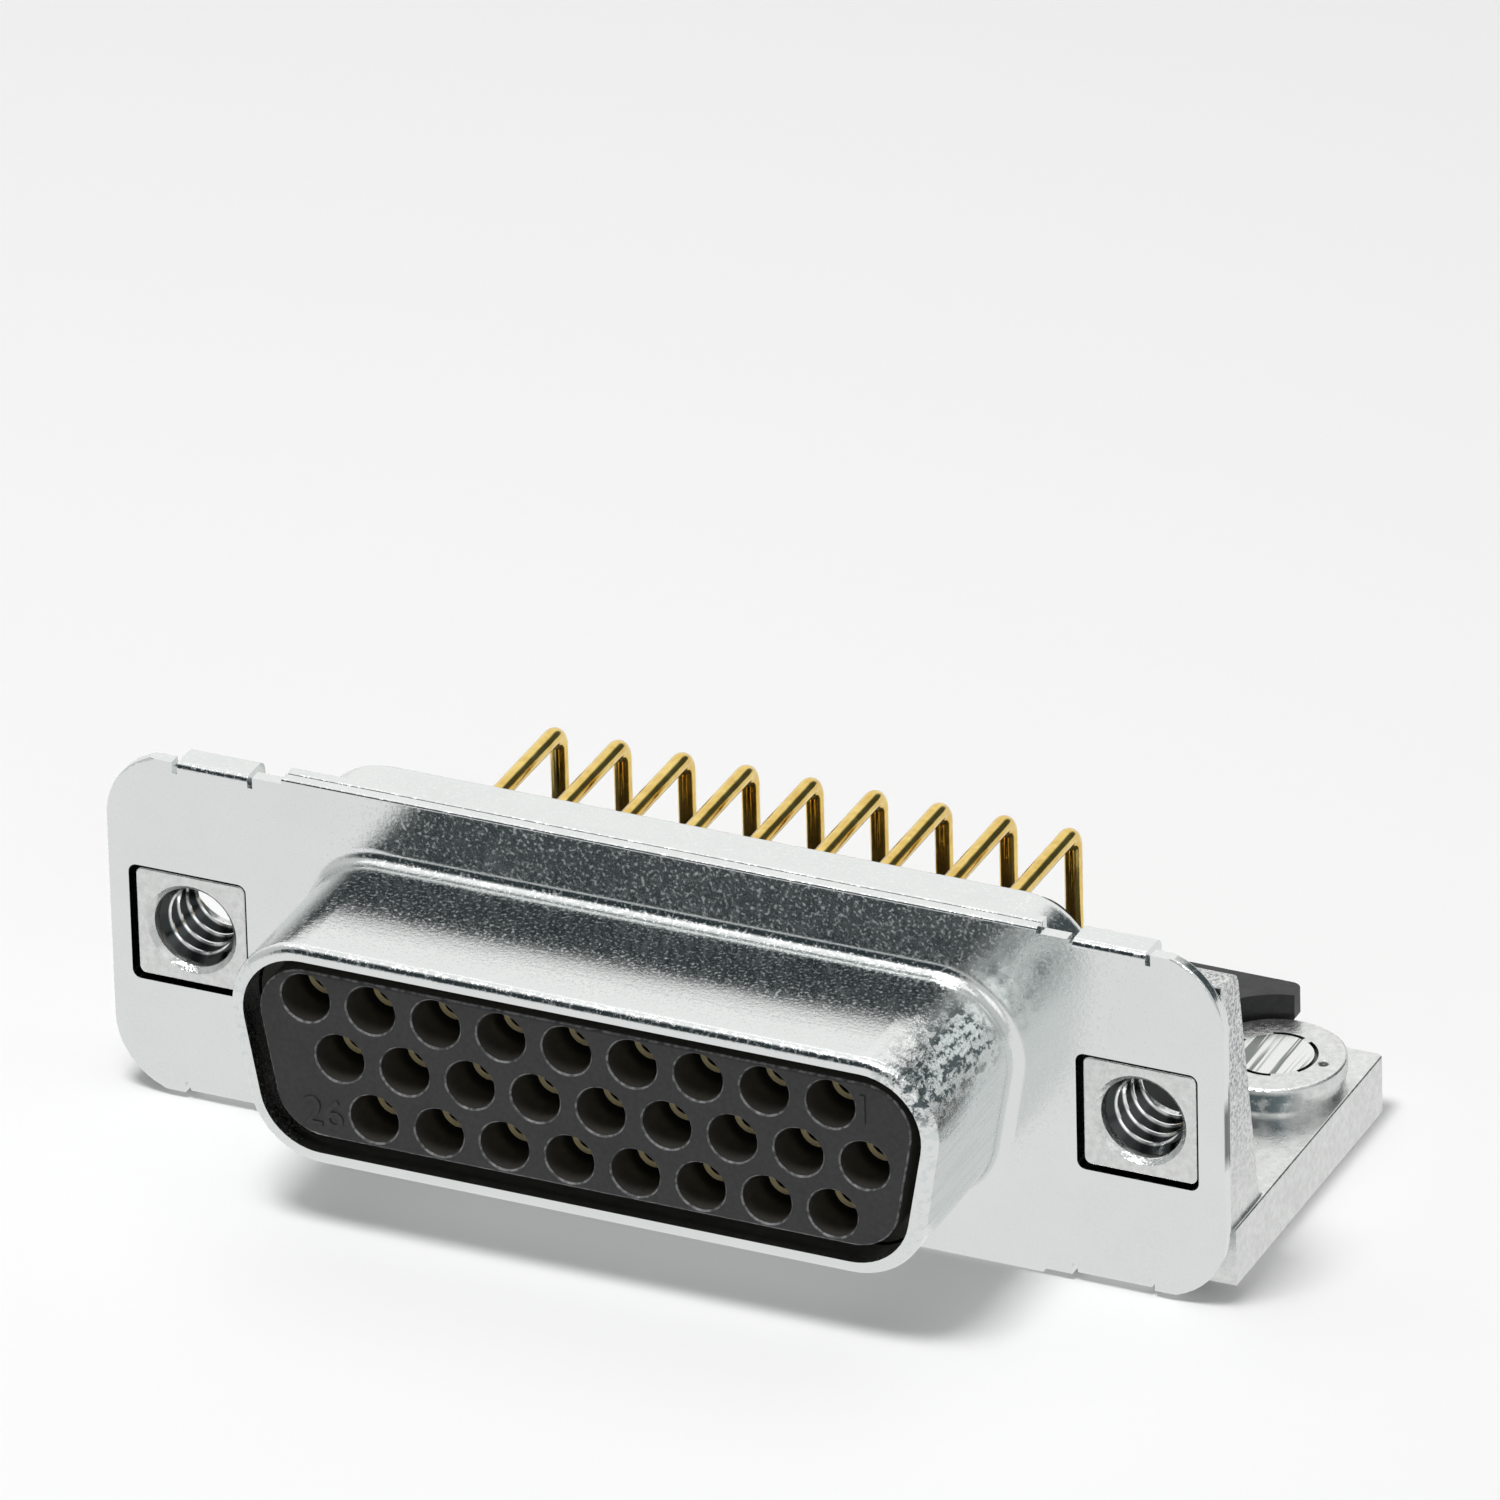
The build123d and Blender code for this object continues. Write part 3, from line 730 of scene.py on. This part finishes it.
def adopt(piece: bpy.types.Object, finish: bpy.types.Material) -> None:
    """Gives a new piece its finish and body.

    Args:
        piece: The finished piece.
        finish: Its material.
    """
    piece.data.materials.clear()
    piece.data.materials.append(finish)
    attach(piece, "root")
    LOG.info("piece %s: %d faces", piece.name, len(piece.data.polygons))


# ---- sub-assemblies


@dataclass
class Finishes:
    """Every material of the object, made once."""

    sheet: bpy.types.Material = field(default_factory=TinPlate().make)
    zinc: bpy.types.Material = field(default_factory=CastZinc().make)
    thread: bpy.types.Material = field(default_factory=CutThread().make)
    pin: bpy.types.Material = field(default_factory=BrushedPin().make)
    gold: bpy.types.Material = field(default_factory=GoldPlate().make)
    insulator: bpy.types.Material = field(default_factory=MouldedPlastic("insulator_black").make)
    organiser: bpy.types.Material = field(default_factory=MouldedPlastic(
        "organiser_black", deep=(0.008, 0.008, 0.0085), worn=(0.018, 0.018, 0.019),
        moulding=Grain(scale=3800.0, harshness=0.6)).make)

    def of(self, node: str) -> bpy.types.Material:
        """The finish of a CAD node.

        Args:
            node: The node's name.

        Returns:
            Its material.
        """
        starts = (("contact_", self.gold), ("bracket_", self.zinc), ("board_lock_", self.pin),
                  ("pin_organiser", self.organiser), ("front_insulator", self.insulator),
                  ("rear_insulator", self.insulator))
        for start, material in starts:
            if node.startswith(start):
                return material
        return self.sheet


@dataclass
class CadDress:
    """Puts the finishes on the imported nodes."""

    finishes: Finishes

    def dress(self, nodes: dict[str, bpy.types.Object]) -> None:
        """Swaps the material of every CAD node.

        Args:
            nodes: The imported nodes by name.
        """
        for name, node in sorted(nodes.items()):
            node.data.materials.clear()
            node.data.materials.append(self.finishes.of(name))
            LOG.info("node %s: %s", name, node.data.materials[0].name)


@dataclass
class JackThreads:
    """The helical ridges cut in the two threaded noses.

    Attributes:
        finish: The threads' material.
        pitch: The way along the axis that one turn takes.
        turns: How often the ridge goes round.
        bore: The radius of the ridge's root, sunk in the nose's bore.
        crest: The radius of the ridge's crest.
        base_width: The ridge's width at its root.
        crest_width: Its width at its crest.
        mouth: Where the ridge starts, along Y.
        steps_per_turn: The sections in one turn.
        run_out: The share of a pitch in which the ridge runs out at its ends.
        run_out_depth: How far inside the root's radius the ridge ends.
        root_band: What is nearer to the root's radius than this stays there.
        smooth_angle: Edges flatter than this are shaded smooth, in degrees.
    """

    finish: bpy.types.Material
    pitch: float = 0.635 * MM
    turns: float = 4.25
    bore: float = 1.435 * MM
    crest: float = 1.13 * MM
    base_width: float = 0.60 * MM
    crest_width: float = 0.06 * MM
    mouth: float = -10.62 * MM
    steps_per_turn: int = 40
    run_out: float = 0.16
    run_out_depth: float = 0.02 * MM
    root_band: float = 0.01 * MM
    smooth_angle: float = 30.0

    def _profile(self) -> bpy.types.Object:
        """One ridge's section, a trapezium that points at the axis.

        Returns:
            The section's object.
        """
        middle = (self.bore + self.crest) / 2
        bpy.ops.object.select_all(action="DESELECT")
        bpy.ops.mesh.primitive_plane_add(size=1.0, location=(0.0, 0.0, 0.0))
        ridge = Workshop.start(f"thread_{Side.RIGHT.word}", bpy.context.object)
        bpy.ops.object.mode_set(mode="EDIT")
        bpy.ops.mesh.select_all(action="SELECT")
        bpy.ops.transform.resize(value=(self.bore - self.crest, self.base_width, 1.0))
        bpy.ops.transform.translate(value=(middle, 0.0, 0.0))
        bpy.ops.mesh.select_all(action="DESELECT")
        bpy.ops.object.mode_set(mode="OBJECT")
        for vertex in ridge.data.vertices:
            vertex.select = vertex.co.x < middle
        bpy.ops.object.mode_set(mode="EDIT")
        bpy.ops.transform.resize(value=(1.0, self.crest_width / self.base_width, 1.0),
                                 center_override=(self.crest, 0.0, 0.0))
        bpy.ops.mesh.delete(type="ONLY_FACE")
        bpy.ops.object.mode_set(mode="OBJECT")
        return ridge

    def _wind(self, ridge: bpy.types.Object) -> None:
        """Winds the section into a helix about the object's own Y axis.

        Args:
            ridge: The section's object.
        """
        screw = ridge.modifiers.new("wind", "SCREW")
        screw.axis = Axis.Y.value
        screw.angle = 2 * math.pi * self.turns
        screw.screw_offset = self.pitch * self.turns
        screw.steps = round(self.steps_per_turn * self.turns)
        screw.render_steps = screw.steps
        screw.use_merge_vertices = False
        bpy.ops.object.modifier_apply(modifier=screw.name)

    def _fade_ends(self, ridge: bpy.types.Object) -> None:
        """Lets the ridge run out into the bore at both ends.

        Args:
            ridge: The wound ridge, still on its own axis.
        """
        faded = self.pitch * self.run_out
        low = min(v.co.y for v in ridge.data.vertices)
        high = max(v.co.y for v in ridge.data.vertices)
        for vertex in ridge.data.vertices:
            reach = math.hypot(vertex.co.x, vertex.co.z)
            near = min(vertex.co.y - low, high - vertex.co.y) - self.base_width / 2
            share = max(0.0, min(1.0, 1.0 - near / faded))
            if reach < self.bore - self.root_band:
                grow = (reach + (self.bore - self.run_out_depth - reach) * share) / reach
                vertex.co.x *= grow
                vertex.co.z *= grow

    def make(self) -> list[bpy.types.Object]:
        """Builds both threads.

        Returns:
            The two pieces.
        """
        ridge = self._profile()
        self._wind(ridge)
        Workshop.tidy(ridge)
        self._fade_ends(ridge)
        bpy.ops.object.shade_smooth_by_angle(angle=math.radians(self.smooth_angle))
        low = min(v.co.y for v in ridge.data.vertices)
        ridge.data.transform(Matrix.Translation((Side.RIGHT.value * NOSE_SPACING / 2,
                                                 self.mouth - low, NOSE_HEIGHT)))
        apart = (Side.LEFT.value - Side.RIGHT.value) * NOSE_SPACING / 2
        twin = Workshop.copy(ridge, f"thread_{Side.LEFT.word}", Vector((apart, 0.0, 0.0)))
        for piece in (ridge, twin):
            adopt(piece, self.finish)
        return [ridge, twin]


@dataclass(frozen=True)
class Number:
    """One moulded number, and its middle on the insulator's face in metres."""

    words: str
    across: float
    up: float


@dataclass
class ContactNumbers:
    """The moulded numbers beside the first and the last contact.

    Attributes:
        finish: The numbers' material.
        face: The insulator's face, along Y.
        tall: The height of a numeral.
        cap_share: A numeral's height as a share of the font's size.
        rise: How far a number stands off the face.
        sunk: How far it reaches into the face.
        rounding: The bevel of its edges.
        curve_steps: The points between two of the outline's control points.
        numbers: The numbers and their places.
    """

    finish: bpy.types.Material
    face: float = -16.74 * MM
    tall: float = 1.05 * MM
    cap_share: float = 0.72
    rise: float = 0.035 * MM
    sunk: float = 0.02 * MM
    rounding: float = 0.012 * MM
    curve_steps: int = 6
    numbers: tuple[Number, ...] = (Number("1", across=9.72 * MM, up=8.3 * MM),
                                   Number("26", across=-9.22 * MM, up=4.16 * MM))

    def _stand(self, number: Number) -> bpy.types.Object:
        """Stands one number on the insulator's face.

        Args:
            number: The number.

        Returns:
            The piece.
        """
        bpy.ops.object.select_all(action="DESELECT")
        bpy.ops.object.text_add(location=(0.0, 0.0, 0.0))
        text = bpy.context.object.data
        text.body = number.words
        text.size = self.tall / self.cap_share
        text.align_x = "CENTER"
        text.align_y = "CENTER"
        text.extrude = (self.rise + self.sunk) / 2
        text.bevel_depth = self.rounding
        text.resolution_u = self.curve_steps
        bpy.ops.object.convert(target="MESH")
        piece = Workshop.start(f"contact_number_{number.words}", bpy.context.object)
        piece.rotation_euler = (math.radians(90.0), 0.0, 0.0)
        piece.location = (number.across, self.face - (self.rise - self.sunk) / 2, number.up)
        Workshop.settle(piece)
        Workshop.tidy(piece)
        return piece

    def make(self) -> list[bpy.types.Object]:
        """Builds the numbers.

        Returns:
            The pieces.
        """
        pieces = [self._stand(number) for number in self.numbers]
        for piece in pieces:
            adopt(piece, self.finish)
        return pieces


# ---- studio


@dataclass(frozen=True)
class Lamp:
    """One soft lamp, aimed at the object.

    Attributes:
        name: Its name.
        place: Where it hangs, in metres.
        size: The side of its square, in metres.
        power: Its power in watts.
    """

    name: str
    place: Triple
    size: float
    power: float

    def hang(self, aim: Vector) -> None:
        """Hangs the lamp.

        Args:
            aim: The point it faces.
        """
        data = bpy.data.lights.new(self.name, "AREA")
        data.shape = "SQUARE"
        data.size = self.size
        data.energy = self.power
        lamp = bpy.data.objects.new(self.name, data)
        lamp.location = self.place
        lamp.rotation_euler = (aim - Vector(self.place)).to_track_quat("-Z", "Y").to_euler()
        bpy.context.scene.collection.objects.link(lamp)


@dataclass(frozen=True)
class Patch:
    """A round part of the surroundings that metal mirrors.

    Attributes:
        toward: The direction of its middle.
        edges: The cosines of the angles where it fades in and is full.
        colour: Its colour.
    """

    toward: Triple
    edges: Range
    colour: Colour

    def cover(self, bench: Bench) -> Socket:
        """How far a direction lies inside the patch.

        Args:
            bench: The world's bench.

        Returns:
            The factor socket, 1 inside the patch.
        """
        way = bench.add("ShaderNodeTexCoord").outputs["Generated"]
        facing = bench.vector("DOT_PRODUCT", way, Vector(self.toward).normalized())
        return bench.spread(facing.outputs["Value"], self.edges)


@dataclass(frozen=True)
class Studio:
    """Pale floor, surroundings for the metal to mirror, and soft lamps.

    Attributes:
        floor_size: The side of the floor, in metres.
        floor_cells: The faces along a side.
        floor_height: Its height, just under the feet.
        floor_colour: Its colour to the camera.
        floor_mirrored: How bright metal mirrors it.
        surround: The light from all round.
        sky_mirrored: The sky that metal mirrors.
        patches: The pale and dark parts of that sky.
        aim: The point that the lamps face.
        lamps: The lamps.
    """

    floor_size: float = 1.2
    floor_cells: int = 8
    floor_height: float = -0.03 * MM
    floor_colour: Colour = (0.88, 0.88, 0.88)
    floor_mirrored: float = 0.86
    surround: Colour = (0.17, 0.17, 0.17)
    sky_mirrored: Colour = (0.60, 0.61, 0.61)
    patches: tuple[Patch, ...] = (
        Patch((-0.37, 0.80, 0.48), edges=(0.55, 0.85), colour=(1.0, 1.0, 0.99)),
        Patch((-0.37, -0.80, 0.48), edges=(0.88, 0.95), colour=(0.028, 0.038, 0.042)),
        Patch((0.58, 0.72, 0.34), edges=(0.84, 0.94), colour=(0.065, 0.08, 0.085)),
        Patch((-0.08, 0.06, 1.0), edges=(0.80, 0.91), colour=(0.02, 0.02, 0.02)),
    )
    aim: Triple = (0.0, -0.006, 0.0)
    lamps: tuple[Lamp, ...] = (
        Lamp("key_softbox", (-0.03, -0.11, 0.38), size=0.11, power=0.95),
        Lamp("overhead_softbox", (-0.03, 0.02, 0.40), size=0.50, power=0.76),
        Lamp("front_softbox", (0.26, -0.36, 0.20), size=0.24, power=0.10),
    )

    def _floor(self) -> None:
        """Lays the floor; metal mirrors it evenly lit, without the shadow that the camera sees."""
        bpy.ops.object.select_all(action="DESELECT")
        bpy.ops.mesh.primitive_grid_add(x_subdivisions=self.floor_cells, y_subdivisions=self.floor_cells,
                                        size=self.floor_size, location=(0.0, 0.0, self.floor_height))
        floor = Workshop.start("floor", bpy.context.object)
        Workshop.settle(floor)
        material = bpy.data.materials.new("pale_floor")
        bench = Bench(material)
        path = bench.add("ShaderNodeLightPath")
        matt = bench.add("ShaderNodeBsdfDiffuse", {"Color": (*self.floor_colour, 1.0)})
        even = bench.add("ShaderNodeEmission", {"Color": (*WHITE, 1.0), "Strength": self.floor_mirrored})
        bench.finish(bench.add("ShaderNodeMixShader", {
            "Fac": path.outputs["Is Glossy Ray"], 1: matt.outputs[0], 2: even.outputs[0]}))
        floor.data.materials.append(material)

    def _surroundings(self) -> None:
        """Makes the world: white to the camera; metal mirrors grey with a pale panel and dark openings."""
        world = bpy.data.worlds.new("studio")
        bpy.context.scene.world = world
        bench = Bench(world)
        path = bench.add("ShaderNodeLightPath")
        sky = self.sky_mirrored
        for patch in self.patches:
            sky = bench.tint(patch.cover(bench), sky, patch.colour)
        seen = bench.tint(path.outputs["Is Glossy Ray"], self.surround, sky)
        seen = bench.tint(path.outputs["Is Camera Ray"], seen, WHITE)
        bench.finish(bench.add("ShaderNodeBackground", {"Color": seen, "Strength": 1.0}))

    def build(self) -> None:
        """Builds the whole studio."""
        self._floor()
        self._surroundings()
        for lamp in self.lamps:
            lamp.hang(Vector(self.aim))
        bpy.context.scene.view_settings.view_transform = "Standard"
        LOG.info("studio with %d lamps", len(self.lamps))


@dataclass(frozen=True)
class PhotoCamera:
    """The camera of the photograph, fitted to 1500 by 1500 pixels.

    Attributes:
        pivot: The point that the camera turns round.
        azimuth: How far round to the right it stands, in degrees.
        elevation: How far up it stands, in degrees.
        roll: How far it leans, in degrees.
        distance: How far it stands from the pivot, before the two shifts.
        focal_pixels: Its focal length in the photograph's pixels.
        across: How far the pivot lies beside the middle of the view.
        down: How far the pivot lies under the middle of the view.
        image_pixels: The photograph's width.
        sensor: The sensor's width in Blender's millimetres.
        clip_ratio: The clip distances, as a share and a multiple of the distance.
    """

    pivot: Triple = (0.0, -10.89 * MM, NOSE_HEIGHT)
    azimuth: float = 24.98
    elevation: float = 28.5
    roll: float = -1.5
    distance: float = 600.0 * MM
    focal_pixels: float = 18768.0
    across: float = -2.8627 * MM
    down: float = 8.7932 * MM
    image_pixels: float = 1500.0
    sensor: float = 36.0
    clip_ratio: float = 10.0

    def place(self) -> None:
        """Makes the camera and sets it as the scene's."""
        turn, rise, tilt = (math.radians(a) for a in (self.azimuth, self.elevation, self.roll))
        back = Vector((math.sin(turn) * math.cos(rise), -math.cos(turn) * math.cos(rise), math.sin(rise)))
        level = Vector((math.cos(turn), math.sin(turn), 0.0))
        upright = back.cross(level)
        right = level * math.cos(tilt) + upright * math.sin(tilt)
        up = upright * math.cos(tilt) - level * math.sin(tilt)
        eye = Vector(self.pivot) + back * self.distance - right * self.across + up * self.down
        data = bpy.data.cameras.new("photo_camera")
        data.sensor_width = self.sensor
        data.lens = self.sensor * self.focal_pixels / self.image_pixels
        data.clip_start = self.distance / self.clip_ratio
        data.clip_end = self.distance * self.clip_ratio
        camera = bpy.data.objects.new("photo_camera", data)
        camera.matrix_world = Matrix((
            (right.x, up.x, back.x, eye.x), (right.y, up.y, back.y, eye.y),
            (right.z, up.z, back.z, eye.z), (0.0, 0.0, 0.0, 1.0)))
        bpy.context.scene.collection.objects.link(camera)
        bpy.context.scene.camera = camera
        LOG.info("camera %.1f round, %.1f up", self.azimuth, self.elevation)


def main() -> None:
    """Builds the pieces in order, then the studio."""
    logging.basicConfig(level=logging.INFO, format="%(name)s: %(message)s")
    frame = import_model()
    bpy.ops.object.select_all(action="DESELECT")
    PhotoCamera().place()
    finishes = Finishes()
    CadDress(finishes).dress(frame["nodes"])
    JackThreads(finishes.thread).make()
    ContactNumbers(finishes.insulator).make()
    Studio().build()


if __name__ == "__main__":
    main()
